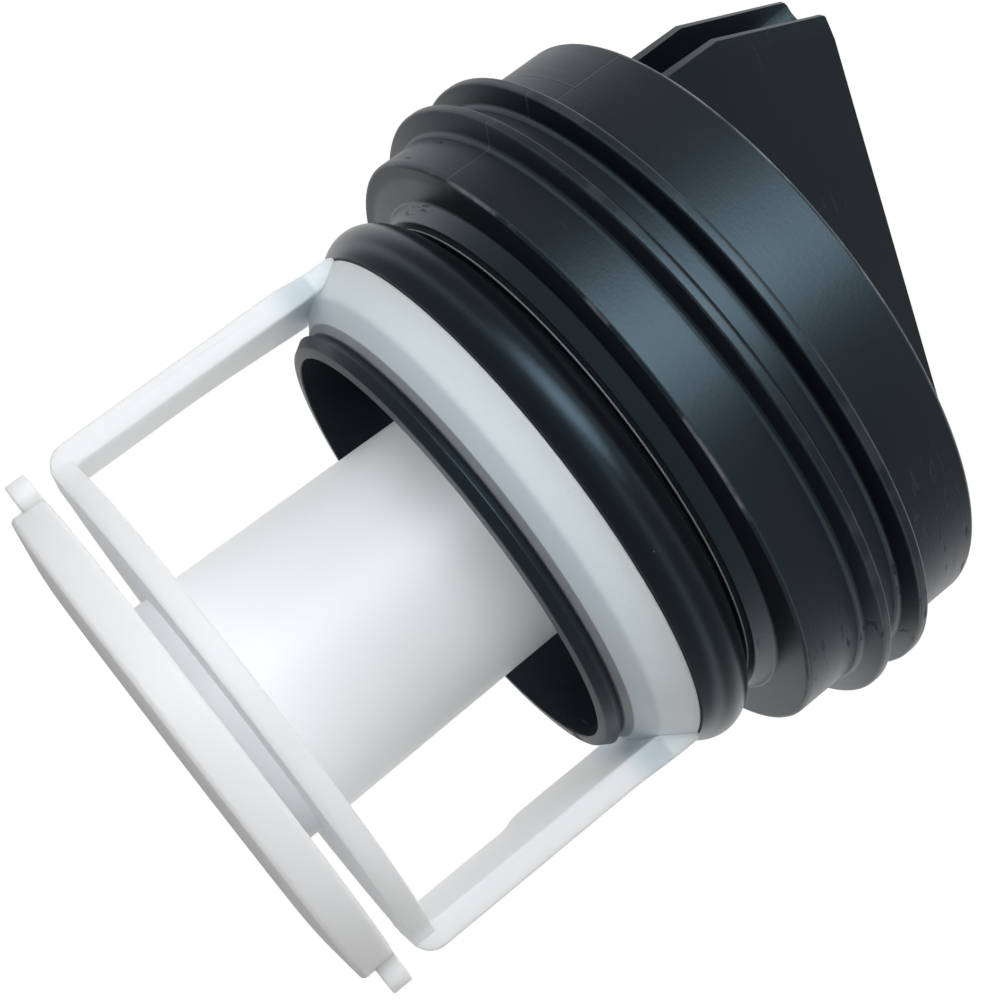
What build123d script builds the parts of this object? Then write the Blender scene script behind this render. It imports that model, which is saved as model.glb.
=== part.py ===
from build123d import *
from math import hypot, radians, sin, tan
import os

# Drain filter of a washing machine, standing on its end disc, in millimetres.
# Z is the axis of the screw cap, the two arms of the insert lie along X, and
# the origin is the centre of the foot. The cap and its seal turn on the insert.

# Insert, heights from the foot up
foot_bevel = 0.9          # rise of the shallow cone under the end disc
end_disc_thick = 3.85
disc_gap = 1.95           # slit between the end disc and the inner disc
inner_disc_thick = 2.4
window_length = 24.4      # clear length of the arms between inner disc and cap
post_reach = 20.0         # how far the hollow post runs into the cup

# Insert, across
end_disc_r = 28.2
foot_r = 21.5             # flat part of the foot
disc_edge = 0.5           # bevel round the end disc
inner_disc_r = 28.0
inner_disc_edge = 0.2
tab_reach = 2.6           # keying tabs stand out of the end disc
tab_width = 12.0
tab_thick = 2.1
tab_corner = 1.8
tab_root = 1.5            # fillet between tab and disc
tab_setback = 0.25        # tabs lie this far below the top of the end disc
post_mouth_r = 13.75      # outside of the post level with the cap's mouth
post_taper = 0.0196       # the post widens this much for each millimetre down
post_bore_r = 11.6
post_floor = 2.0
arm_thick = 2.7
arm_shift = 0.35          # both arms lie this far towards +X
arm_front = 6.7           # every arm edge on the front side, from the XZ plane
left_arm_back_top = 10.0  # left arm narrows in a long curve, then runs straight
left_arm_back_foot = 4.5
left_arm_bend = 8.5       # its bend below the mouth
left_arm_bend_round = 18.0
right_arm_back_top = 12.8  # right arm narrows at a rounded shoulder
right_arm_back_foot = 9.3
shoulder_drop = 10.0      # shoulder of the right arm below the mouth
shoulder_length = 1.6
shoulder_round = 2.0
arm_corner = 2.3          # outer corner between arm and inner disc
arm_root = 1.5            # the arm's foot runs this far into the inner disc

# Cap, radii outwards from the cup
cup_r = 24.0
cup_draft = 0.5           # the cup is this much narrower at its floor
neck_wall = 1.0           # journal that the insert's ring turns on
lip_wall = 1.35
bead_wall = 1.9           # crest of the snap bead in front of the ring
seat_wall = 2.3           # seat of the seal
band_front_wall = 5.5     # rear wall of the seal groove
band_back_wall = 6.85
head_wall = 11.25         # cup bore to the outside of the threaded head
shell_thick = 2.4         # wall of the moulding

# Cap, heights from the mouth up
bead_rise = 1.15
bead_length = 2.05
ring_length = 5.55
seal_length = 6.9
band_length = 2.35
head_length = 21.65
cup_depth = 34.0
floor_thick = 2.4

# Thread: one raised rib wound round the head
thread_lead = 4.77
thread_height = 2.4
thread_crest = 1.05
thread_root = 2.1
thread_sink = 0.4         # rib foot sunk in the head wall
thread_turns = 2
thread_start_angle = -90.0
thread_start = 4.75       # middle of the rib's start above the head's step face

# Grip: two plates joined by a web, across the back of the head
grip_angle = 40.0         # long direction of the grip, from X towards Y
grip_half_length = 32.3
grip_top_half = 27.4
grip_knee = 7.9           # ends stand upright this far above the head
grip_rise = 20.2
grip_thick = 7.6
grip_plate = 1.7          # wall beside the end slots, level with the head
grip_plate_top = 1.0      # the same wall at the top of the grip
grip_web_half = 25.2      # end slots reach in to here
grip_bevel = 2.4          # width of the bevel along the ends of each plate
grip_bevel_drop = 0.5
grip_top_bevel = 0.6

# Ring of the insert and seal
ring_wall = 5.35          # bore of the ring to its outer edge
ring_clear = 0.05         # running clearance of the ring on the journal
end_play = 0.1            # of the ring between bead and seat
seal_thick = 5.9
seal_set_in = 0.1         # of the seal's front from the end of its seat

# Corners rounded by no more than this are drawn as plain bevels
small_rounding = 1.0

# Derived heights
end_disc_z = foot_bevel + end_disc_thick
inner_disc_bottom_z = end_disc_z + disc_gap
inner_disc_z = inner_disc_bottom_z + inner_disc_thick
mouth_z = inner_disc_z + window_length
bead_z = mouth_z + bead_rise
bead_back_z = mouth_z + bead_length
ring_front_z = bead_back_z + end_play
ring_back_z = ring_front_z + ring_length
seat_z = ring_back_z + end_play
seal_front_z = seat_z + seal_set_in
band_front_z = seal_front_z + seal_length
head_front_z = band_front_z + band_length
head_back_z = head_front_z + head_length
cup_floor_z = mouth_z + cup_depth
cup_back_z = cup_floor_z + floor_thick

# Derived radii
lip_r = cup_r + lip_wall
bead_r = cup_r + bead_wall
journal_r = cup_r + neck_wall
seat_r = cup_r + seat_wall
band_front_r = cup_r + band_front_wall
band_back_r = cup_r + band_back_wall
head_r = cup_r + head_wall
ring_bore_r = journal_r + ring_clear
ring_r = ring_bore_r + ring_wall
seal_r = seat_r + seal_thick
arm_out = ring_r - 0.1
tab_tip = end_disc_r + tab_reach


def rounded_face(corners):
    """Face from corners (x, y, rounding): large ones turned by an arc, small ones bevelled."""
    turns = []
    edges = []
    for number, (x, y, rounding) in enumerate(corners):
        here = Vector(x, y)
        back = (Vector(*corners[number - 1][:2]) - here).normalized()
        ahead = (Vector(*corners[(number + 1) % len(corners)][:2]) - here).normalized()
        half = radians(back.get_angle(ahead) / 2)
        start = here + back * (rounding / tan(half))
        end = here + ahead * (rounding / tan(half))
        if rounding > small_rounding:
            middle = here + (back + ahead).normalized() * (rounding / sin(half) - rounding)
            edges.append(ThreePointArc(start, middle, end))
        elif rounding:
            edges.append(Line(start, end))
        turns.append((start, end))
    for number, (start, _) in enumerate(turns):
        edges.append(Line(turns[number - 1][1], start))
    return make_face(edges)


def turned(corners):
    """Solid turned about Z from corners (radius, height, rounding)."""
    return revolve(Plane.XZ * rounded_face(corners), Axis.Z)


def slab(face, plane, low, high):
    """Face drawn on a plane through the origin, thickened from low to high along its normal."""
    return plane.offset(low) * extrude(face, high - low)


def cap_shell():
    """Cup, neck, seal groove and head, with the moat between cup and head wall open behind."""
    cup_floor_r = cup_r - cup_draft
    cup_back_r = cup_floor_r + shell_thick
    head_inner_r = head_r - shell_thick
    moat_floor_z = head_front_z + shell_thick
    return turned([
        (0, cup_floor_z, 0),
        (cup_floor_r, cup_floor_z, 1.0),
        (cup_r, mouth_z, 0.4),
        (lip_r, mouth_z + 0.1, 0.3),
        (bead_r, bead_z, 0.3),
        (lip_r, bead_back_z, 0),
        (journal_r, bead_back_z + 0.02, 0),
        (journal_r, seat_z, 0),
        (seat_r, seat_z, 0.2),
        (seat_r, band_front_z, 0),
        (band_front_r, band_front_z, 0.15),
        (band_back_r, head_front_z, 0.15),
        (head_r, head_front_z, 0.4),
        (head_r, head_back_z, 0.5),
        (head_inner_r, head_back_z, 0.3),
        (head_inner_r, moat_floor_z, 0.8),
        (cup_back_r + 0.5, moat_floor_z, 0.8),
        (cup_back_r, cup_back_z, 1.0),
        (0, cup_back_z, 0),
    ])


def screw_thread():
    """Rib of trapezoid section wound on the head, right-handed."""
    foot_r = head_r - thread_sink
    slope = (thread_root - thread_crest) / 2 / thread_height
    foot_half = thread_root / 2 + slope * thread_sink
    path = Helix(thread_lead, thread_lead * thread_turns, foot_r)
    across = Plane(origin=path @ 0, x_dir=(1, 0, 0), z_dir=path % 0)
    section = across * rounded_face([
        (0, -foot_half, 0),
        (thread_height + thread_sink, -thread_crest / 2, 0.25),
        (thread_height + thread_sink, thread_crest / 2, 0.25),
        (0, foot_half, 0),
    ])
    rib = sweep(section, path, is_frenet=True)
    return Pos(0, 0, head_front_z + thread_start) * Rot(0, 0, thread_start_angle) * rib


def grip_side(inset, top_inset):
    """Side view of the grip in X and Z, its ends and its top drawn in by the insets."""
    long_half = grip_half_length - inset
    top_half = grip_top_half - inset
    base_z = head_back_z - 1.0
    knee_z = head_back_z + grip_knee
    top_z = head_back_z + grip_rise - top_inset
    return rounded_face([
        (-long_half, base_z, 0),
        (long_half, base_z, 0),
        (long_half, knee_z, 3.0),
        (top_half, top_z, 1.6),
        (-top_half, top_z, 1.6),
        (-long_half, knee_z, 3.0),
    ])


def slot_plan(slot_half):
    """Plan of an end slot of the grip, with a round bottom at the web."""
    bottom = Pos(grip_web_half + slot_half, 0) * Circle(slot_half)
    return bottom + Pos(grip_web_half + slot_half, 0) * Rectangle(
        grip_thick, 2 * slot_half, align=(Align.MIN, Align.CENTER))


def grip():
    """Finger grip of two bevelled plates on a web, its plates running down into the moat."""
    half = grip_thick / 2
    core_half = half - grip_bevel_drop
    full = grip_side(0, 0)
    drawn_in = grip_side(grip_bevel, grip_top_bevel)
    body = slab(full, Plane.XZ, -core_half, core_half)
    for face_turn in (0, 180):
        plate = loft([Plane.XZ.offset(core_half) * full, Plane.XZ.offset(half) * drawn_in])
        body += Rot(0, 0, face_turn) * plate
    ribs_half = head_r - shell_thick / 2
    ribs = Box(2 * ribs_half, 2 * core_half, head_length - shell_thick,
               align=(Align.CENTER, Align.CENTER, Align.MAX))
    body += Pos(0, 0, head_back_z - 0.8) * ribs
    moat_floor_z = head_front_z + shell_thick
    straight_slot = slab(slot_plan(half - grip_plate), Plane.XY, moat_floor_z, head_back_z)
    flared_slot = loft([
        Plane.XY.offset(head_back_z) * slot_plan(half - grip_plate),
        Plane.XY.offset(head_back_z + grip_rise) * slot_plan(half - grip_plate_top),
    ])
    slot = straight_slot + flared_slot
    body -= slot + Rot(0, 0, 180) * slot
    return Rot(0, 0, grip_angle) * body


def threaded_cap():
    """Black moulding: cap shell, thread and grip, with the cup left clear."""
    cup_clear = Pos(0, 0, mouth_z) * Cylinder(
        cup_r, cup_depth + floor_thick / 2, align=(Align.CENTER, Align.CENTER, Align.MIN))
    return cap_shell() + screw_thread() + (grip() - cup_clear)


def sealing_ring():
    """Rubber seal of D section lying in the groove of the neck."""
    front_r = seal_r - 1.1
    back_r = seal_r - 2.3
    section = make_face([
        Line((seat_r, seal_front_z), (front_r, seal_front_z)),
        ThreePointArc((front_r, seal_front_z), (seal_r, seal_front_z + 2.7),
                      (back_r, band_front_z - 0.4)),
        Line((back_r, band_front_z - 0.4), (back_r - 0.5, band_front_z)),
        Line((back_r - 0.5, band_front_z), (seat_r, band_front_z)),
        Line((seat_r, band_front_z), (seat_r, seal_front_z)),
    ])
    return revolve(Plane.XZ * section, Axis.Z)


def insert_ring():
    """Ring that snaps over the bead of the neck and turns there."""
    return turned([
        (ring_bore_r, ring_front_z, 0.2),
        (ring_bore_r + 0.6, ring_front_z, 0.2),
        (ring_bore_r + 1.25, ring_front_z + 0.5, 0.2),
        (ring_bore_r + 2.05, ring_front_z + 2.5, 0.6),
        (ring_r, ring_back_z - 0.3, 0.1),
        (ring_r, ring_back_z, 0.1),
        (ring_bore_r, ring_back_z, 0),
    ])


def arm(outline, out):
    """Arm on the +X side with its outer face at out, cut to an outline in Y and Z."""
    inside = out - arm_thick
    root = min(inside, inner_disc_r) - arm_root
    side = rounded_face([
        (out, ring_back_z - 0.8, 0),
        (out, inner_disc_bottom_z, arm_corner),
        (root, inner_disc_bottom_z, 0),
        (root, inner_disc_z, 0),
        (inside, inner_disc_z, 0.4),
        (inside, ring_back_z - 0.8, 0),
    ])
    reach = 2 * right_arm_back_top
    return slab(side, Plane.XZ, -reach, reach) & slab(outline, Plane.YZ, 0, 2 * out)


def left_arm():
    """Arm whose back edge narrows in a long curve."""
    bend_z = mouth_z - left_arm_bend
    return arm(rounded_face([
        (arm_front, inner_disc_bottom_z, 0),
        (arm_front, ring_back_z, 0),
        (-left_arm_back_top, ring_back_z - 2, 0),
        (-left_arm_back_foot, bend_z, left_arm_bend_round),
        (-left_arm_back_foot, inner_disc_bottom_z, 0),
    ]), arm_out + arm_shift)


def right_arm():
    """Arm whose back edge steps in at a rounded shoulder; drawn on +X, then turned over."""
    shoulder_z = mouth_z - shoulder_drop
    return Rot(0, 0, 180) * arm(rounded_face([
        (-arm_front, inner_disc_bottom_z, 0),
        (-arm_front, ring_back_z, 0),
        (right_arm_back_top, ring_back_z, 0),
        (right_arm_back_top, shoulder_z, shoulder_round),
        (right_arm_back_foot, shoulder_z - shoulder_length, shoulder_round / 2),
        (right_arm_back_foot, inner_disc_bottom_z, 0),
    ]), arm_out - arm_shift)


def post():
    """Hollow post from the end disc into the cup, open at its inner end."""
    top_z = mouth_z + post_reach
    top_r = post_mouth_r - post_taper * post_reach
    foot_r = post_mouth_r + post_taper * (mouth_z - foot_bevel)
    return turned([
        (0, foot_bevel, 0),
        (foot_r, foot_bevel, 0),
        (top_r, top_z, 0.5),
        (post_bore_r, top_z, 0.5),
        (post_bore_r, foot_bevel + post_floor, 1.0),
        (0, foot_bevel + post_floor, 0),
    ])


def discs():
    """End disc with its shallow coned foot and keying tabs, and the inner disc above it."""
    end_disc = turned([
        (0, 0, 0),
        (foot_r, 0, 0),
        (end_disc_r, foot_bevel, disc_edge),
        (end_disc_r, end_disc_z, disc_edge),
        (0, end_disc_z, 0),
    ])
    inner_disc = turned([
        (0, inner_disc_bottom_z, 0),
        (inner_disc_r, inner_disc_bottom_z, inner_disc_edge),
        (inner_disc_r, inner_disc_z, inner_disc_edge),
        (0, inner_disc_z, 0),
    ])
    plan = Circle(end_disc_r - disc_edge / 2) + RectangleRounded(2 * tab_tip, tab_width, tab_corner)
    meeting = [spot for spot in plan.vertices() if hypot(spot.X, spot.Y) < end_disc_r - disc_edge / 4]
    tab_top_z = end_disc_z - tab_setback
    tabs = slab(fillet(meeting, tab_root), Plane.XY, tab_top_z - tab_thick, tab_top_z)
    return end_disc + inner_disc + tabs


def filter_insert():
    """White moulding: discs, post, two arms and ring, hollowed along the post."""
    body = discs() + insert_ring() + left_arm() + right_arm()
    bore_z = foot_bevel + post_floor
    core = Pos(0, 0, bore_z) * Cylinder(
        post_bore_r, inner_disc_z, align=(Align.CENTER, Align.CENTER, Align.MIN))
    return (body - core) + post()


nodes = {
    "threaded_cap": threaded_cap(),
    "sealing_ring": sealing_ring(),
    "filter_insert": filter_insert(),
}

os.makedirs("parts", exist_ok=True)
for name, solid in nodes.items():
    export_step(solid, f"parts/{name}.step")
    box = solid.bounding_box()
    print(name, "volume", round(solid.volume / 1000, 2), "cm3, solids", len(solid.solids()),
          "box", [round(v, 2) for v in (*box.min, *box.max)])
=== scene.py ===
from math import atan2, copysign, cos, hypot, pi, radians, sin

import bmesh
import bpy
from mathutils import Matrix, Quaternion, Vector


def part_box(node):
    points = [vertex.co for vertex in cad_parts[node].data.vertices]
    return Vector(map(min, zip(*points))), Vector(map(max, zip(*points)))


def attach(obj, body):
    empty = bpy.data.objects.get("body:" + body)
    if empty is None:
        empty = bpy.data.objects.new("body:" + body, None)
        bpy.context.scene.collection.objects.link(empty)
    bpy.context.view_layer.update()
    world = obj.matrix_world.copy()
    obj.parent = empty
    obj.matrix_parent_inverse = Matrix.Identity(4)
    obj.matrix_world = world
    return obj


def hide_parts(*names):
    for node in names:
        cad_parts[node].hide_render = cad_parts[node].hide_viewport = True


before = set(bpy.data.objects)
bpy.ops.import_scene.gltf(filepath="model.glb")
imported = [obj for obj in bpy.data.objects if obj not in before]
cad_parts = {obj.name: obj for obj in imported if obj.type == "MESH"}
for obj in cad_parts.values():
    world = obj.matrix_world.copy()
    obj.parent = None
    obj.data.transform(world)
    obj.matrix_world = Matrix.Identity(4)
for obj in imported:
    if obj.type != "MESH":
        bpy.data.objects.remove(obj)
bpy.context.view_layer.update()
mm = 0.001
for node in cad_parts:
    low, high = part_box(node)
    print(node, "from", [round(v / mm, 2) for v in low], "to", [round(v / mm, 2) for v in high])

# %% [markdown]
# Round parts are turned: a half section is drawn in the XZ plane and spun about Z, as on a
# lathe. A corner of the section that the mould rounds off is bevelled before the spin, where
# it is one vertex and not a ring.
# %% Drawing an outline
around = 256                    # steps in a full turn
tiny = 1e-7                     # metres: spots closer than this are one spot


def outline(mesh, corners, across, along, at=Vector((0, 0, 0))):
    """Draws a face from corners (x, y, rounding) in millimetres, and rounds them."""
    spots = [mesh.verts.new(at + (across * x + along * y) * mm) for x, y, _ in corners]
    mesh.faces.new(spots)
    for size in sorted({rounding for _, _, rounding in corners if rounding}):
        chosen = [spot for spot, (_, _, rounding) in zip(spots, corners) if rounding == size]
        bmesh.ops.bevel(mesh, geom=chosen, offset=size * mm, offset_type="OFFSET",
                        affect="VERTICES", segments=5, profile=0.5, material=-1,
                        clamp_overlap=False)
    return mesh.faces[:]


X, Y, Z = Vector((1, 0, 0)), Vector((0, 1, 0)), Vector((0, 0, 1))


def turned(corners):
    """Half section (radius, height, rounding) in millimetres, spun into a closed mesh."""
    mesh = bmesh.new()
    drawn = outline(mesh, corners, X, Z)
    bmesh.ops.delete(mesh, geom=drawn, context="FACES_ONLY")
    on_axis = [edge for edge in mesh.edges if all(abs(spot.co.x) < tiny for spot in edge.verts)]
    bmesh.ops.delete(mesh, geom=on_axis, context="EDGES")
    bmesh.ops.spin(mesh, geom=mesh.verts[:] + mesh.edges[:], cent=(0, 0, 0), axis=Z,
                   dvec=(0, 0, 0), angle=2 * pi, steps=around, use_merge=True,
                   use_duplicate=False)
    bmesh.ops.remove_doubles(mesh, verts=mesh.verts, dist=tiny)
    return mesh


# %% [markdown]
# A finished mesh becomes an object that rides on a CAD body, so that it moves as the real
# piece does. Edges over a limit stay crisp, and a Weighted Normal modifier keeps wide faces
# flat beside their small roundings.
# %% From mesh to piece
def piece(name, mesh, body, crisp=40):
    """Makes a smooth object of a mesh, riding on one CAD body."""
    bmesh.ops.recalc_face_normals(mesh, faces=mesh.faces)
    for face in mesh.faces:
        face.smooth = True
    for edge in mesh.edges:
        edge.smooth = len(edge.link_faces) == 2 and edge.calc_face_angle(0) < radians(crisp)
    data = bpy.data.meshes.new(name)
    mesh.to_mesh(data)
    mesh.free()
    made = bpy.data.objects.new(name, data)
    bpy.context.collection.objects.link(made)
    weigh = made.modifiers.new("even_faces", "WEIGHTED_NORMAL")
    weigh.keep_sharp = True
    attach(made, body)
    print(name, len(data.polygons), "faces")
    return made


# %% [markdown]
# The insert starts at the floor with a thick end disc, whose underside rises in a shallow
# cone from a flat foot. A slit parts it from the inner disc. Both are turned.
# %% End disc and inner disc
foot_radius = 21.5
foot_rise = 0.9
end_disc_top = 4.75
inner_disc_low = 6.7
inner_disc_top = 9.1
end_disc_radius = 28.2
inner_disc_radius = 28.0
end_disc = piece("end_disc", turned([
    (0, 0, 0),
    (foot_radius, 0, 2.5),
    (end_disc_radius, foot_rise, 0.5),
    (end_disc_radius, end_disc_top, 0.5),
    (0, end_disc_top, 0),
]), "insert")
inner_disc = piece("inner_disc", turned([
    (0, inner_disc_low, 0),
    (inner_disc_radius, inner_disc_low, 0.2),
    (inner_disc_radius, inner_disc_top, 0.25),
    (0, inner_disc_top, 0),
]), "insert")

# %% [markdown]
# Flat pieces are drawn as an outline and extruded. Afterwards the edges are rounded, because
# no moulding has sharp ones.
# %% Raising and softening
soft_edge = 0.25                # usual rounding of a moulded edge


def raised(mesh, faces, rise):
    """Extrudes the faces by a vector, and keeps them as the mesh's other side."""
    grown = bmesh.ops.extrude_face_region(mesh, geom=faces, use_keep_orig=True)
    spots = [item for item in grown["geom"] if isinstance(item, bmesh.types.BMVert)]
    bmesh.ops.translate(mesh, verts=spots, vec=rise)
    bmesh.ops.recalc_face_normals(mesh, faces=mesh.faces)
    return spots


def softened(mesh, size):
    """Rounds every edge that turns by more than 50 degrees."""
    chosen = [edge for edge in mesh.edges
              if len(edge.link_faces) == 2 and edge.calc_face_angle(0) > radians(50)]
    bmesh.ops.bevel(mesh, geom=chosen, offset=size * mm, offset_type="OFFSET", affect="EDGES",
                    segments=3, profile=0.5, material=-1, clamp_overlap=True)


# %% [markdown]
# Two flat tabs on the end disc hold the insert still in the pump housing while the cap is
# turned. Each is a level outline whose sides leave the disc's rim in a smooth curve.
# %% Keying tabs
tab_tip = 30.8
tab_half_width = 6.0
tab_low, tab_top = 2.4, 4.7
sunk = 0.01                     # a rooted plate lies this much inside its disc's surface
plate_start = 20.0              # and begins here, hidden in the disc
curve_steps = 12


def rooted_plate(mesh, side, rim, half_width, tip, corner, leave, reach, low, high):
    """A flat bar that grows out of a disc. On each side a smooth curve leaves the rim at an
    angle in degrees, and meets the bar's edge at a reach along X."""
    start = Vector((cos(radians(leave)), sin(radians(leave)))) * rim
    along = Vector((start.y, -start.x)) / rim
    bend = start + along * ((start.y - half_width) / -along.y)
    end = Vector((reach, half_width))
    half = [(side * plate_start, start.y, 0)]
    for step in range(curve_steps + 1):
        share = step / curve_steps
        spot = start * (1 - share) ** 2 + bend * 2 * share * (1 - share) + end * share ** 2
        half.append((side * spot.x, spot.y, 0))
    half.append((side * tip, half_width, corner))
    faces = outline(mesh, half + [(x, -y, rounding) for x, y, rounding in reversed(half)],
                    X, Y, at=Z * low * mm)
    return raised(mesh, faces, Z * (high - low) * mm)


def keying_tab(side):
    """One tab, on the +X side for 1 and the -X side for -1."""
    mesh = bmesh.new()
    rooted_plate(mesh, side, rim=end_disc_radius - sunk, half_width=tab_half_width,
                 tip=tab_tip, corner=1.9, leave=16, reach=28.9, low=tab_low, high=tab_top)
    softened(mesh, soft_edge)
    return mesh


left_tab = piece("left_tab", keying_tab(1), "insert")
right_tab = piece("right_tab", keying_tab(-1), "insert")

# %% [markdown]
# The post is a hollow tube that leads from the discs into the cup. Its outside narrows a
# little towards its open inner end, so that the moulding slips out of its tool.
# %% Post
mouth = 33.5                    # height of the cup's mouth
post_bore = 11.6
post_radius = 13.75             # at the mouth
post_taper = 0.0196
post_top = mouth + 20.0
post_foot = end_disc_top - 2.0
post = piece("post", turned([
    (post_bore, post_foot, 0),
    (post_radius + post_taper * (mouth - post_foot), post_foot, 0),
    (post_radius - post_taper * (post_top - mouth), post_top, 0.5),
    (post_bore, post_top, 0.5),
]), "insert")

# %% [markdown]
# The ring of the insert snaps over a bead on the cap's neck. From the front it shows two
# bands that meet in a soft crease: the inner one faces forwards, and the outer one leads
# steeply back to a crisp edge beside the seal.
# %% Snap ring
ring_bore = 25.05
ring_front = mouth + 2.15
ring_back = mouth + 7.7
ring_radius = 30.4              # at the outer band's back edge
ring_crease = 28.3              # where the two bands meet
snap_ring = piece("snap_ring", turned([
    (ring_bore, ring_front, 0.1),
    (ring_bore + 0.6, ring_front, 0.1),
    (ring_bore + 1.2, ring_front + 0.68, 0.06),
    (ring_crease, ring_front + 2.25, 0.5),
    (ring_radius, ring_back - 0.3, 0.1),
    (ring_radius, ring_back, 0.1),
    (ring_bore, ring_back, 0),
]), "insert")

# %% [markdown]
# Two arms join the ring to the inner disc and leave wide windows for the water. An arm is
# drawn from the front, as its edges run in Y and Z. The two differ: the left one narrows
# evenly, and the right one has a step. Both widen at the front where they meet the ring.
# %% The arms' outlines
arm_top = ring_back - 0.05
arm_front = 6.7
shoulder_low = mouth + 0.5      # where the front edge starts to widen
shoulder_front = 7.9
front_edge = [
    (arm_front, inner_disc_low, 0),
    (arm_front, shoulder_low, 2.0),
    (shoulder_front, arm_top, 0),
]
left_outline = front_edge + [
    (-9.9, arm_top, 0),
    (-4.5, mouth - 8.5, 4.0),
    (-4.5, inner_disc_low, 0),
]
right_outline = front_edge + [
    (-12.8, arm_top, 0),
    (-12.8, mouth - 10.0, 1.6),
    (-9.3, mouth - 11.6, 0.8),
    (-9.3, inner_disc_low, 0),
]

# %% [markdown]
# The outline is extruded along X to the arm's thickness. Its upper end is cut into a grid,
# whose outer spots are led over to the ring's round rim. A smooth step, 0 at the knee and 1
# at the ring, says how far each spot goes.
# %% Arms
arm_outside = 30.3
arm_shift = 0.35                # both arms lie this far towards +X
arm_thickness = 2.7
arm_knee = mouth - 0.5          # below it the outside is flat
knee_rise = 6.5                 # and this far above it, it follows the rim
shoulder_radius = 30.9          # of that rim
rows = [Z * (arm_knee + 0.8 * step) for step in range(10)]
columns = [Y * 1.6 * step for step in range(-7, 9)]
arm_foot_corner = 2.3
near_enough = 0.01              # tolerance for picking spots by their place


def everything(mesh):
    return mesh.verts[:] + mesh.edges[:] + mesh.faces[:]


def arm(side, corners):
    """One arm, with its outer foot corner well rounded."""
    mesh = bmesh.new()
    outside = arm_outside + side * arm_shift
    inside = outside - arm_thickness
    faces = outline(mesh, corners, Y, Z, at=X * side * inside * mm)
    raised(mesh, faces, X * side * arm_thickness * mm)
    for place, facing in [(row, Z) for row in rows] + [(column, Y) for column in columns]:
        bmesh.ops.bisect_plane(mesh, geom=everything(mesh), dist=tiny, plane_co=place * mm,
                               plane_no=facing)
    for spot in mesh.verts:
        share = min(max((spot.co.z / mm - arm_knee) / knee_rise, 0), 1)
        if abs(spot.co.x) > (outside - near_enough) * mm:
            rim = ((shoulder_radius * mm) ** 2 - spot.co.y ** 2) ** 0.5
            spot.co.x += (side * rim - spot.co.x) * share * share * (3 - 2 * share)
    foot_edges = [edge for edge in mesh.edges
                  if all(abs(spot.co.z - inner_disc_low * mm) < near_enough * mm and
                         abs(abs(spot.co.x) - outside * mm) < near_enough * mm
                         for spot in edge.verts)]
    bmesh.ops.bevel(mesh, geom=foot_edges, offset=arm_foot_corner * mm, offset_type="OFFSET",
                    affect="EDGES", segments=8, profile=0.5, material=-1)
    softened(mesh, soft_edge)
    return mesh


left_arm = piece("left_arm", arm(1, left_outline), "insert")
right_arm = piece("right_arm", arm(-1, right_outline), "insert")

# %% [markdown]
# At an arm's foot the inner disc's rim swings out to the arm's front edge in the same kind of
# curve as at the tabs, so the same helper draws it.
# %% Arm roots
def arm_root(side):
    """A fillet in the inner disc's plane, as thick as the disc but for what it is sunk."""
    mesh = bmesh.new()
    reach = arm_outside + side * arm_shift - arm_foot_corner + 0.6
    rooted_plate(mesh, side, rim=inner_disc_radius - sunk, half_width=arm_front - sunk,
                 tip=reach + 0.05, corner=0, leave=22, reach=reach,
                 low=inner_disc_low + sunk, high=inner_disc_top - sunk)
    softened(mesh, 0.15)
    return mesh


left_root = piece("left_root", arm_root(1), "insert")
right_root = piece("right_root", arm_root(-1), "insert")

# %% [markdown]
# The rubber seal is a D section with a domed crest. It lies in the groove of the neck and
# turns with the cap. The crest is an arc through the front edge, the top and the back edge.
# %% Sealing ring
seat_radius = 26.3
seal_front = mouth + 7.9
seal_back = mouth + 14.8
dome = [(30.55, seal_front), (31.95, seal_front + 3.5), (28.9, seal_back - 0.6)]


def arc_through(first, middle, last, steps):
    """Points on the circle through three points in a plane."""
    (ax, ay), (bx, by), (cx, cy) = first, middle, last
    twice = 2 * (ax * (by - cy) + bx * (cy - ay) + cx * (ay - by))
    a2, b2, c2 = ax * ax + ay * ay, bx * bx + by * by, cx * cx + cy * cy
    x = (a2 * (by - cy) + b2 * (cy - ay) + c2 * (ay - by)) / twice
    y = (a2 * (cx - bx) + b2 * (ax - cx) + c2 * (bx - ax)) / twice
    radius = hypot(ax - x, ay - y)
    begin, end = atan2(ay - y, ax - x), atan2(cy - y, cx - x)
    turns = [begin + (end - begin) * step / steps for step in range(steps + 1)]
    return [(x + radius * cos(turn), y + radius * sin(turn)) for turn in turns]


crest = [(x, y, 0) for x, y in arc_through(*dome, steps=28)]
sealing_ring = piece("seal_body", turned([
    (seat_radius, seal_front, 0),
    (30.3, seal_front, 0),
    *crest,
    (28.3, seal_back, 0.15),
    (seat_radius, seal_back, 0),
]), "cap", crisp=30)

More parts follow.
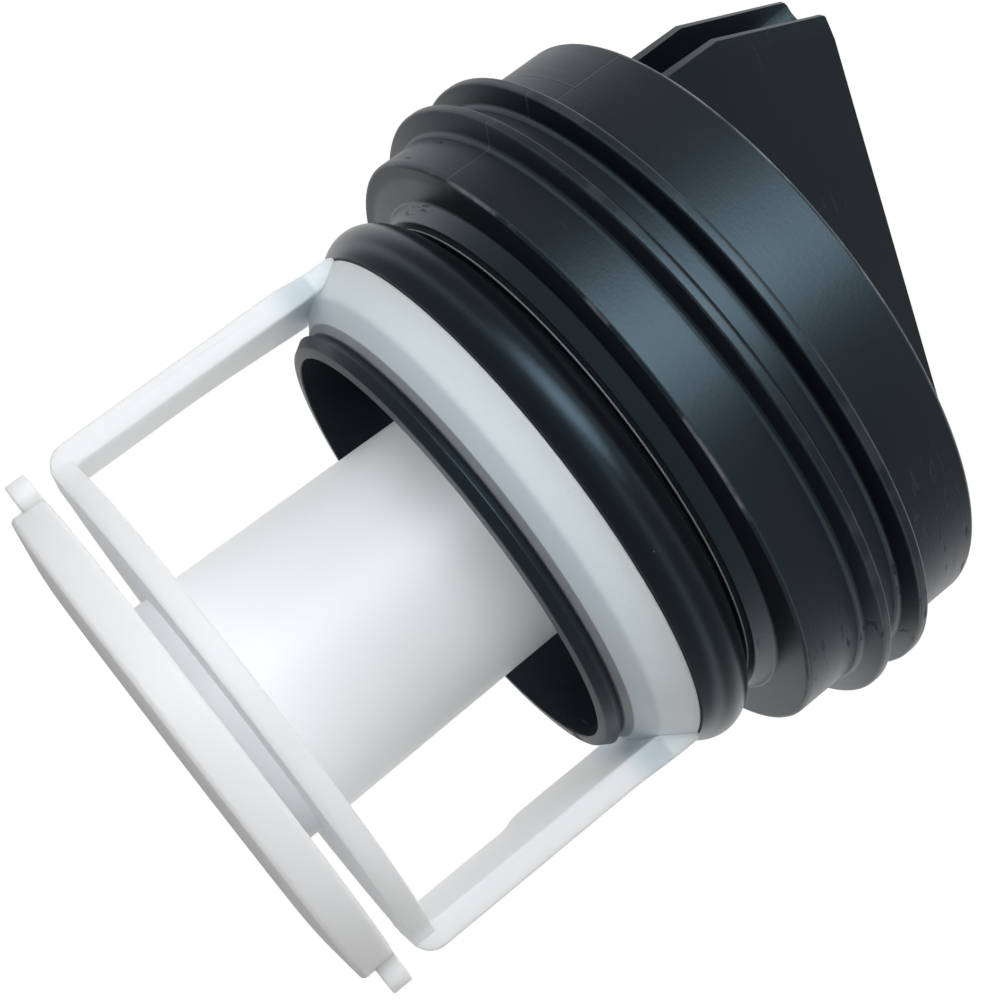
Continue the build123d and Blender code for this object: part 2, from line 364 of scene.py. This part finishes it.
# %% [markdown]
# The cap's shell is one section. It runs from the cup's floor over the lip, whose front is a
# few fine facets, to the snap bead, the neck, the seal's seat with a fine rim behind it and
# the head, and down again into the moat behind.
# %% Cap shell
neck_radius = 25.0
rim_radius = 29.2               # a fine raised rim behind the seal
head_radius = 35.25
head_front = mouth + 17.15
head_back = mouth + 38.8
wall = 2.4
cup_floor = mouth + 34.0
cup_and_neck = [
    (0, cup_floor, 0),
    (23.5, cup_floor, 1.5),
    (24.0, mouth, 0.14),                            # lip
    (25.2, mouth + 0.1, 0.06),
    (25.6, mouth + 0.75, 0.05),
    (25.9, mouth + 1.2, 0.1),                       # snap bead
    (25.35, mouth + 2.05, 0.1),
    (neck_radius, mouth + 2.07, 0),
    (neck_radius, mouth + 7.8, 0),
    (seat_radius, mouth + 7.8, 0.2),
]
head_and_moat = [
    (seat_radius, mouth + 14.8, 0),
    (rim_radius, mouth + 14.8, 0.06),
    (rim_radius, mouth + 15.0, 0.08),
    (28.7, mouth + 15.05, 0),
    (29.8, mouth + 15.25, 0.1),                     # conical band
    (30.85, head_front, 0.2),
    (head_radius, head_front, 0.5),
    (head_radius, head_back, 0.5),
    (head_radius - wall, head_back, 0.4),
    (head_radius - wall, head_front + wall, 0.8),   # floor of the moat
    (26.4, head_front + wall, 0.8),
    (25.9, cup_floor + wall, 1.0),
    (0, cup_floor + wall, 0),
]
cap_shell = piece("cap_shell", turned(cup_and_neck + head_and_moat), "cap")

# %% [markdown]
# The thread is one raised rib wound round the head. Its cross section is spun like the turned
# parts, but each step of the spin also climbs a little, which makes a helix.
# %% Thread
thread_lead = 4.77
thread_turns = 2
thread_height = 2.4
thread_start = head_front + 4.75
thread_from = radians(-90)      # both ends are at the far side of the head
rib_section = [
    (-0.4, -1.6, 0),
    (0, -1.6, 0),
    (0.15, -1.05, 0.3),
    (thread_height, -0.525, 0.25),
    (thread_height, 0.525, 0.25),
    (0.15, 1.05, 0.3),
    (0, 1.6, 0),
    (-0.4, 1.6, 0),
]


def screw_rib():
    """The rib's section, wound up the head."""
    mesh = bmesh.new()
    start = Matrix.Rotation(thread_from, 3, "Z") @ X
    section = outline(mesh, rib_section, start, Z,
                      at=(start * head_radius + Z * thread_start) * mm)
    steps = around * thread_turns
    bmesh.ops.spin(mesh, geom=section, cent=(0, 0, 0), axis=Z,
                   dvec=Z * thread_lead * thread_turns * mm / steps,
                   angle=2 * pi * thread_turns, steps=steps, use_merge=False, use_duplicate=False)
    return mesh


thread = piece("thread", screw_rib(), "cap")

# %% [markdown]
# The finger grip is drawn from behind: two plates joined by a web, with a round-bottomed slot
# at each end. One end is drawn, and the other is the same turned by half a turn.
# %% The grip's outline
grip_turn = radians(40)
grip_half_length = 32.3
grip_top_half = 27.4
grip_half_thick = 3.8
slot_half = 2.1                 # half width of the end slots, level with the head
slot_half_top = 2.8             # and at the top of the grip
grip_web_half = 25.2
slot_round = slot_half - 0.02   # the slot's bottom is almost a half circle
grip_knee = head_back + 7.9     # where the slanted ends begin
grip_top = head_back + 20.2
bevel_width = 2.4
bevel_drop = 0.5
one_slot = [
    (grip_half_length, -grip_half_thick, 0),
    (grip_half_length, -slot_half, 0),
    (grip_web_half, -slot_half, slot_round),
    (grip_web_half, slot_half, slot_round),
    (grip_half_length, slot_half, 0),
    (grip_half_length, grip_half_thick, 0),
]
grip_outline = one_slot + [(-x, -y, rounding) for x, y, rounding in one_slot]

# %% [markdown]
# The outline is extruded up, and the slots flare above the head. Planes cut the ends to the
# slant, and shallower planes cut the bevels along them.
# %% Finger grip
def cut(mesh, point, facing):
    """Removes what lies beyond a plane and closes the cut."""
    done = bmesh.ops.bisect_plane(mesh, geom=everything(mesh), dist=tiny,
                                  plane_co=Vector(point) * mm, plane_no=Vector(facing),
                                  clear_outer=True)
    rims = [item for item in done["geom_cut"] if isinstance(item, bmesh.types.BMEdge)]
    bmesh.ops.holes_fill(mesh, edges=rims, sides=0)


def flare_slots(spots):
    """Widens the slots by moving the spots at the grip's top."""
    flare = slot_half_top / slot_half
    for spot in spots:
        if abs(spot.co.y) < (slot_half + 0.1) * mm:
            spot.co.y *= flare
            if abs(spot.co.x) < (grip_half_length - 1) * mm:
                web = copysign(grip_web_half * mm, spot.co.x)
                spot.co.x = web + (spot.co.x - web) * flare


def slant_ends(mesh):
    """Cuts both ends to the slant, and the bevels along them."""
    slant = Vector((grip_top - grip_knee, 0, grip_half_length - grip_top_half)).normalized()
    lean = bevel_drop / bevel_width
    for side in (1, -1):
        end = Vector((side * grip_half_length, 0, grip_knee))
        cut(mesh, end, (side * slant.x, 0, slant.z))
        for face_side in (1, -1):
            inner = Vector((side * (grip_half_length - bevel_width),
                            face_side * grip_half_thick, grip_knee))
            cut(mesh, inner, (side * lean, face_side, 0))
            inner = end - Vector((side * slant.x, 0, slant.z)) * bevel_width
            inner.y = face_side * grip_half_thick
            cut(mesh, inner, (side * slant.x * lean, face_side, slant.z * lean))


def is_tip(edge):
    """True for the short edges where the top meets a slanted end."""
    one, other = (spot.co for spot in edge.verts)
    return (min(one.z, other.z) > (grip_top - near_enough) * mm
            and min(abs(one.x), abs(other.x)) > (grip_top_half - 0.6) * mm
            and abs((one - other).x) < 0.4 * mm)


def finger_grip():
    """The grip along X, then turned to its place."""
    mesh = bmesh.new()
    low = head_front + wall + 0.2
    faces = outline(mesh, grip_outline, X, Y, at=Z * low * mm)
    raised(mesh, faces, Z * (head_back - low) * mm)
    top = [face for face in mesh.faces
           if face.calc_center_median().z > (head_back - near_enough) * mm]
    flare_slots(raised(mesh, top, Z * (grip_top - head_back) * mm))
    bmesh.ops.delete(mesh, geom=top, context="FACES_ONLY")
    slant_ends(mesh)
    bmesh.ops.bevel(mesh, geom=[edge for edge in mesh.edges if is_tip(edge)], offset=0.9 * mm,
                    offset_type="OFFSET", affect="EDGES", segments=5, profile=0.5, material=-1,
                    clamp_overlap=True)
    softened(mesh, 0.35)
    bmesh.ops.rotate(mesh, verts=mesh.verts, cent=(0, 0, 0),
                     matrix=Matrix.Rotation(grip_turn, 3, "Z"))
    return mesh


grip = piece("finger_grip", finger_grip(), "cap", crisp=35)

# %% [markdown]
# The dressed pieces take the place of the CAD solids, which stay in the physics model. The
# lamp's light passes through most pieces of the insert and through the cap's shell, so that
# the hidden joints between pieces stay as light as the rest.
# %% Standing in for the CAD
insert_pieces = [end_disc, inner_disc, left_tab, right_tab, post, snap_ring,
                 left_arm, right_arm, left_root, right_root]
cap_pieces = [cap_shell, thread, grip]
for made in insert_pieces:
    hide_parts("filter_insert")
for made in cap_pieces:
    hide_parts("threaded_cap")
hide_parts("sealing_ring")
print(len(insert_pieces), "pieces of the insert,", len(cap_pieces), "of the cap")
for made in insert_pieces + [cap_shell]:
    made.visible_shadow = made is end_disc

# %% [markdown]
# Finishes are built from nodes. A small class wraps a node's output, so that a pattern can be
# written as an ordinary sum: each operator adds one Math node.
# %% Shader arithmetic
class Wire:
    """An output socket that Python arithmetic extends with Math nodes."""

    def __init__(self, finish, socket):
        self.finish = finish
        self.socket = socket

    def calc(self, operation, *values):
        return self.finish.node("ShaderNodeMath", {"operation": operation}, [self, *values])

    def __add__(self, other):
        return self.calc("ADD", other)

    __radd__ = __add__

    def __mul__(self, other):
        return self.calc("MULTIPLY", other)

    __rmul__ = __mul__

    def __sub__(self, other):
        return self.calc("SUBTRACT", other)

    def __rsub__(self, other):
        return self.finish.node("ShaderNodeMath", {"operation": "SUBTRACT"}, [other, self])


class Bench:
    """A node tree and a short way to add nodes to it."""

    def __init__(self, tree):
        self.tree = tree

    def node(self, kind, settings, inputs, output=0):
        made = self.tree.nodes.new(kind)
        for key, value in settings.items():
            setattr(made, key, value)
        pairs = inputs.items() if isinstance(inputs, dict) else enumerate(inputs)
        for key, value in pairs:
            self.feed(made.inputs[key], value)
        return Wire(self, made.outputs[output])

    def feed(self, socket, value):
        if isinstance(value, Wire):
            self.tree.links.new(value.socket, socket)
        else:
            socket.default_value = value

    def between(self, value, low, high):
        """0 below low, 1 above high and a smooth step between."""
        return self.node("ShaderNodeMapRange", {"interpolation_type": "SMOOTHSTEP"},
                         {"Value": value, "From Min": low, "From Max": high})

    def seen(self):
        """1 for what the camera sees, and the same for reflections and for rays through glass."""
        paths = self.node("ShaderNodeLightPath", {}, {}, "Is Camera Ray")
        return [paths] + [Wire(self, paths.socket.node.outputs[name])
                          for name in ("Is Glossy Ray", "Is Transmission Ray")]


# %% [markdown]
# A finish is a bench with one Principled shader. Its patterns read Object coordinates, which
# here are true places on the part, in metres.
# %% Finishes
class Finish(Bench):
    """A material with one Principled shader."""

    def __init__(self, name):
        self.material = bpy.data.materials.new(name)
        self.material.use_nodes = True
        super().__init__(self.material.node_tree)
        self.shader = self.tree.nodes["Principled BSDF"]
        self.place = self.node("ShaderNodeTexCoord", {}, {}, "Object")
        split = self.node("ShaderNodeSeparateXYZ", {}, [self.place], "X")
        self.x, self.y, self.z = (Wire(self, split.socket.node.outputs[axis]) for axis in "XYZ")
        self.radius = (self.x * self.x + self.y * self.y).calc("SQRT")

    def set(self, **sockets):
        for name, value in sockets.items():
            self.feed(self.shader.inputs[name.replace("_", " ")], value)

    def noise(self, scale, detail=2.0, stretch=(1, 1, 1)):
        """Cloudy noise, with this many clouds to a metre along each axis."""
        place = self.node("ShaderNodeVectorMath", {"operation": "MULTIPLY"},
                          [self.place, stretch])
        return self.node("ShaderNodeTexNoise", {},
                         {"Vector": place, "Scale": scale, "Detail": detail}, "Fac")

    def near(self, value, centre, reach):
        """1 at a value in millimetres, and 0 beyond its reach."""
        away = (value - centre * mm).calc("ABSOLUTE")
        return 1 - self.between(away, 0.3 * reach * mm, reach * mm)

    def specks(self, spacing, share, size):
        """Round dots of a size in millimetres, in a share of cells that lie so far apart."""
        cells = self.node("ShaderNodeTexVoronoi", {},
                          {"Vector": self.place, "Scale": 1 / (spacing * mm)}, "Distance")
        own_color = Wire(self, cells.socket.node.outputs["Color"])
        lot = self.node("ShaderNodeSeparateColor", {}, [own_color], "Red")
        dot = 1 - self.between(cells, 0.25 * size / spacing, 0.5 * size / spacing)
        return dot * lot.calc("GREATER_THAN", 1 - share)

    def mix(self, factor, low, high):
        return self.node("ShaderNodeMix", {"data_type": "RGBA"}, {0: factor, 6: low, 7: high}, 2)

    def bump(self, height, distance, strength):
        return self.node("ShaderNodeBump", {},
                         {"Height": height, "Distance": distance, "Strength": strength})

    def lift(self, strength, shade_radius):
        """Adds a plain glow that the camera sees, and reflections outside the patch round
        the object."""
        camera_ray, glossy, through = self.seen()
        away = self.node("ShaderNodeVectorMath", {"operation": "LENGTH"}, [self.place], "Value")
        far = self.between(away, 0.5 * shade_radius, shade_radius)
        glow = self.node("ShaderNodeEmission", {},
                         {"Strength": (camera_ray + (glossy + through) * far) * strength})
        both = self.node("ShaderNodeAddShader", {}, [Wire(self, self.shader.outputs[0]), glow])
        self.feed(self.tree.nodes["Material Output"].inputs["Surface"], both)


# %% [markdown]
# The cap is satin black polypropylene. The turned mould leaves faint rings round it and a
# joint line in the grip's plane, where the two halves differ a little in gloss. Handling adds
# dust, scuffs and rubbed edges. A light line along the fine rim behind the seal is a painted
# highlight.
# %% Black plastic
grain_depth = 0.00003           # metres, of the finest relief


def black_plastic():
    finish = Finish("black_plastic")
    cloud = finish.noise(55, 3)
    grain = finish.noise(2600, 2)
    rings = finish.noise(1, 3, stretch=(30, 30, 3200))

    outside = finish.between(finish.radius, 33 * mm, 34 * mm)
    plane = finish.x * sin(grip_turn) - finish.y * cos(grip_turn)
    half = finish.between(plane, -0.1 * mm, 0.1 * mm) * outside
    broken = finish.between(finish.noise(260), 0.35, 0.5)
    joint = finish.near(plane, 0, 0.14) * outside * broken
    insert_line = finish.near(finish.z, head_front + 15.6, 0.12) * half

    streaks = finish.noise(1, 3, stretch=(260, 260, 2200))
    scuffs = (finish.between(streaks, 0.62, 0.66)
              * finish.between(finish.noise(70), 0.5, 0.62))
    dust = finish.specks(2.6, 0.09, 0.24) + finish.specks(1.3, 0.04, 0.15)
    # A painted highlight: a light line along the fine rim behind the seal.
    rim = (finish.near(finish.radius, rim_radius, 0.2)
           * finish.near(finish.z, mouth + 14.95, 0.25))
    corner = finish.near(finish.radius, head_radius, 0.5) * (
        finish.near(finish.z, head_back, 0.5) + finish.near(finish.z, head_front, 0.4))
    thread_edge = head_radius + thread_height
    crest = finish.between(finish.radius, (thread_edge - 0.25) * mm, thread_edge * mm)
    rubbed = (corner + crest * 0.1) * finish.between(finish.noise(190, 4), 0.46, 0.62)
    lip = finish.near(finish.radius, 25.2, 0.12) * finish.near(finish.z, mouth + 0.12, 0.14)
    # This light colour is dust and wear, and also the painted highlight on the rim.
    dust_wear_and_highlight = (dust + rubbed + rim + lip * 0.5 + joint * 0.2).calc("MINIMUM", 1.0)

    tone = finish.mix(cloud, (0.004, 0.0045, 0.006, 1), (0.007, 0.008, 0.010, 1))
    tone = finish.mix(scuffs, tone, (0.002, 0.002, 0.003, 1))
    relief = grain * 0.5 + rings * 0.4 + joint * 1.2 + insert_line * 1.5 - scuffs * 0.8
    finish.set(Base_Color=finish.mix(dust_wear_and_highlight, tone, (0.17, 0.175, 0.18, 1)),
               Roughness=(cloud * 0.08 + rings * 0.06 + half * 0.07 + scuffs * 0.2
                          + dust_wear_and_highlight * 0.2 + 0.285),
               Normal=finish.bump(relief, grain_depth, 0.7),
               Specular_IOR_Level=0.66, Specular_Tint=(0.57, 0.82, 0.98, 1))
    return finish.material


# %% [markdown]
# The seal's rubber is smoother than the cap and shows one broad highlight along its crest. It
# holds dust, and faint rings run round it where it was trimmed.
# %% Seal rubber
def seal_rubber():
    finish = Finish("seal_rubber")
    cloud = finish.noise(80, 3)
    rings = finish.noise(1, 2, stretch=(20, 20, 1700))
    dust = finish.specks(2.2, 0.07, 0.24)
    tone = finish.mix(cloud, (0.004, 0.0042, 0.005, 1), (0.006, 0.0065, 0.008, 1))
    relief = finish.noise(1800, 2) * 0.5 + rings * 0.3 + dust
    finish.set(Base_Color=finish.mix(dust, tone, (0.10, 0.10, 0.095, 1)),
               Roughness=cloud * 0.08 + rings * 0.05 + dust * 0.3 + 0.235,
               Normal=finish.bump(relief, grain_depth, 0.5),
               Specular_IOR_Level=0.50, Specular_Tint=(0.54, 0.79, 0.98, 1))
    return finish.material


# %% [markdown]
# The insert is natural polypropylene, which lets light through, so the shader scatters it
# below the surface. Flow marks cloud its gloss, and the arms carry fine drag marks along the
# way they left the mould. The ring and the arms' tops carry a painted bluish reflection of the
# lamp. Painted shade darkens the ring's inner band, which faces away from the light, and more
# painted shade darkens its narrow front edge where it meets the cap's lip.
# %% White plastic
def white_plastic():
    finish = Finish("white_plastic")
    cloud = finish.noise(45, 2)
    flow = finish.noise(1, 4, stretch=(90, 90, 30))
    arms = (finish.between(finish.radius, 28.2 * mm, 28.8 * mm)
            * finish.between(finish.z, 9 * mm, 12 * mm))
    drag = finish.between(finish.noise(1, 3, stretch=(900, 900, 35)), 0.56, 0.66) * arms
    grime = finish.specks(3.0, 0.02, 0.30)

    ring = (finish.between(finish.z, (mouth - 1) * mm, (mouth + 3) * mm)
            * finish.between(finish.radius, 24 * mm, 25 * mm))
    outer_band = finish.between(finish.z, (ring_front + 1.9) * mm, (ring_front + 2.5) * mm)
    shaded_inner_band = ring * (1 - outer_band)
    beyond_shaded_edge = finish.between(finish.radius, 26.15 * mm, 26.3 * mm)
    shaded_front_edge = ((1 - beyond_shaded_edge) * finish.between(finish.radius, 25 * mm, 25.1 * mm)
            * finish.between(finish.z, (ring_front - 0.1) * mm, ring_front * mm))

    tone = finish.mix(cloud, (0.905, 0.912, 0.918, 1), (0.930, 0.936, 0.942, 1))
    tone = finish.mix(drag * 0.5, tone, (0.90, 0.90, 0.90, 1))
    # A painted bluish reflection of the lamp over the ring and the arms' tops.
    tone = finish.mix(ring * 0.8, tone, (0.80, 0.90, 0.95, 1))
    # Painted shade on the ring's inner band, which faces away from the light.
    tone = finish.mix(shaded_inner_band * 0.55, tone, (0.52, 0.58, 0.63, 1))
    # Painted shade on the ring's narrow front edge, where it meets the cap's lip.
    tone = finish.mix(shaded_front_edge * 0.85, tone, (0.20, 0.21, 0.22, 1))
    relief = finish.noise(1500, 2) * 0.4 + flow * 1.5 - drag * 1.2
    finish.set(Base_Color=finish.mix(grime, tone, (0.16, 0.15, 0.14, 1)),
               Roughness=cloud * 0.08 + flow * 0.14 + drag * 0.12 + 0.26,
               Normal=finish.bump(relief, grain_depth, 0.5),
               Subsurface_Weight=1.0, Subsurface_Radius=(1.0, 1.0, 1.0),
               Subsurface_Scale=0.002, Specular_IOR_Level=0.35)
    return finish.material


# %% [markdown]
# Each object gets the finish of its slot.
# %% Dressing the pieces
finishes = {"black_plastic": black_plastic(), "seal_rubber": seal_rubber(),
            "white_plastic": white_plastic()}
for made in insert_pieces:
    made.data.materials.append(finishes["white_plastic"])
for made in cap_pieces:
    made.data.materials.append(finishes["black_plastic"])
sealing_ring.data.materials.append(finishes["seal_rubber"])
print("finishes:", ", ".join(finishes))

# %% [markdown]
# The filter stands on a plain pale floor, which keeps its shadow. To the camera the lit floor
# is white.
# %% Floor
def floor():
    """A plain pale disc, as the stage and not a piece of the part."""
    mesh = bmesh.new()
    bmesh.ops.create_circle(mesh, cap_ends=True, segments=128, radius=1.2)
    data = bpy.data.meshes.new("floor")
    mesh.to_mesh(data)
    mesh.free()
    made = bpy.data.objects.new("floor", data)
    bpy.context.collection.objects.link(made)
    finish = Finish("floor")
    finish.set(Base_Color=(0.30, 0.305, 0.31, 1), Roughness=0.9, Specular_IOR_Level=0.0)
    finish.lift(strength=0.88, shade_radius=0.25)
    data.materials.append(finish.material)
    made.visible_shadow = False
    made.visible_diffuse = False


floor()
print("floor laid")

# %% [markdown]
# The room is dim, with a white backdrop behind the filter, a soft ceiling and a little light
# from below, as a pale table gives back. One large lamp stands in front like a window. What
# the camera sees behind the filter is plain white.
# %% Sky and lamp
def sky():
    """The room as the filter sees it, and white for the camera."""
    world = bpy.data.worlds.new("studio")
    bpy.context.scene.world = world
    world.use_nodes = True
    bench = Bench(world.node_tree)
    way = bench.node("ShaderNodeTexCoord", {}, {}, "Generated")

    def towards(direction):
        return bench.node("ShaderNodeVectorMath", {"operation": "DOT_PRODUCT"},
                          [way, Vector(direction).normalized()], "Value")

    backdrop = bench.between(towards((0.08, -0.87, 0.5)), 0.30, 0.97)
    ceiling = bench.between(towards((0, 0, 1)), 0.5, 0.85)
    table = bench.between(towards((0, 0, -1)), 0.5, 0.9)
    camera_ray, glossy, through = bench.seen()
    light = 0.27 + backdrop * 0.70 + ceiling * 0.6 + table * 0.35
    room = bench.node("ShaderNodeBackground", {}, {"Color": (1.0, 0.99, 0.98, 1),
                                                   "Strength": light})
    white = bench.node("ShaderNodeBackground", {}, {"Color": (1, 1, 1, 1), "Strength": 1.0})
    as_white = camera_ray + (glossy + through) * backdrop
    blend = bench.node("ShaderNodeMixShader", {}, [as_white, room, white])
    bench.feed(bench.tree.nodes["World Output"].inputs["Surface"], blend)


def lamp(name, place, target, length, width, slant, spread, power, color):
    """An oblong lamp that faces a target, its long side raised by a slant in degrees."""
    data = bpy.data.lights.new(name, "AREA")
    data.color = color
    data.shape = "RECTANGLE"
    data.size = length
    data.size_y = width
    data.energy = power
    data.spread = radians(spread)
    made = bpy.data.objects.new(name, data)
    made.location = place
    made.rotation_mode = "QUATERNION"
    aim = (Vector(target) - Vector(place)).to_track_quat("-Z", "Y")
    made.rotation_quaternion = aim @ Quaternion(Z, radians(slant))
    bpy.context.collection.objects.link(made)


sky()
lamp("window", place=(0.139, 0.419, 0.143), target=(0.045, 0, 0.065), length=0.46, width=0.27,
     slant=34, spread=75, power=0.385, color=(0.92, 0.965, 1.0))
print("sky and lamp set")

# %% [markdown]
# The camera stands close in front, low, tipped a little upwards and rolled over, which is how
# the photograph lays the upright filter slanting across the picture.
# %% Camera
picture_height = 1000           # pixels
focal_pixels = 1823.3
camera_place = Vector((1.187, 183.66, 1.58)) * mm
camera_pitch = radians(11.997)
camera_roll = radians(52.354)

ahead = Vector((0, -cos(camera_pitch), sin(camera_pitch)))
level = ahead.cross(Z).normalized()
right = level * cos(camera_roll) + level.cross(ahead) * sin(camera_roll)
lens = bpy.data.cameras.new("camera")
lens.lens = focal_pixels / picture_height * lens.sensor_width
lens.clip_start = 0.005
camera = bpy.data.objects.new("camera", lens)
camera.matrix_world = Matrix((right, right.cross(ahead), -ahead)).transposed().to_4x4()
camera.location = camera_place
bpy.context.collection.objects.link(camera)
bpy.context.scene.camera = camera
bpy.context.scene.view_settings.view_transform = "Standard"
print("camera lens", round(lens.lens, 2), "mm")
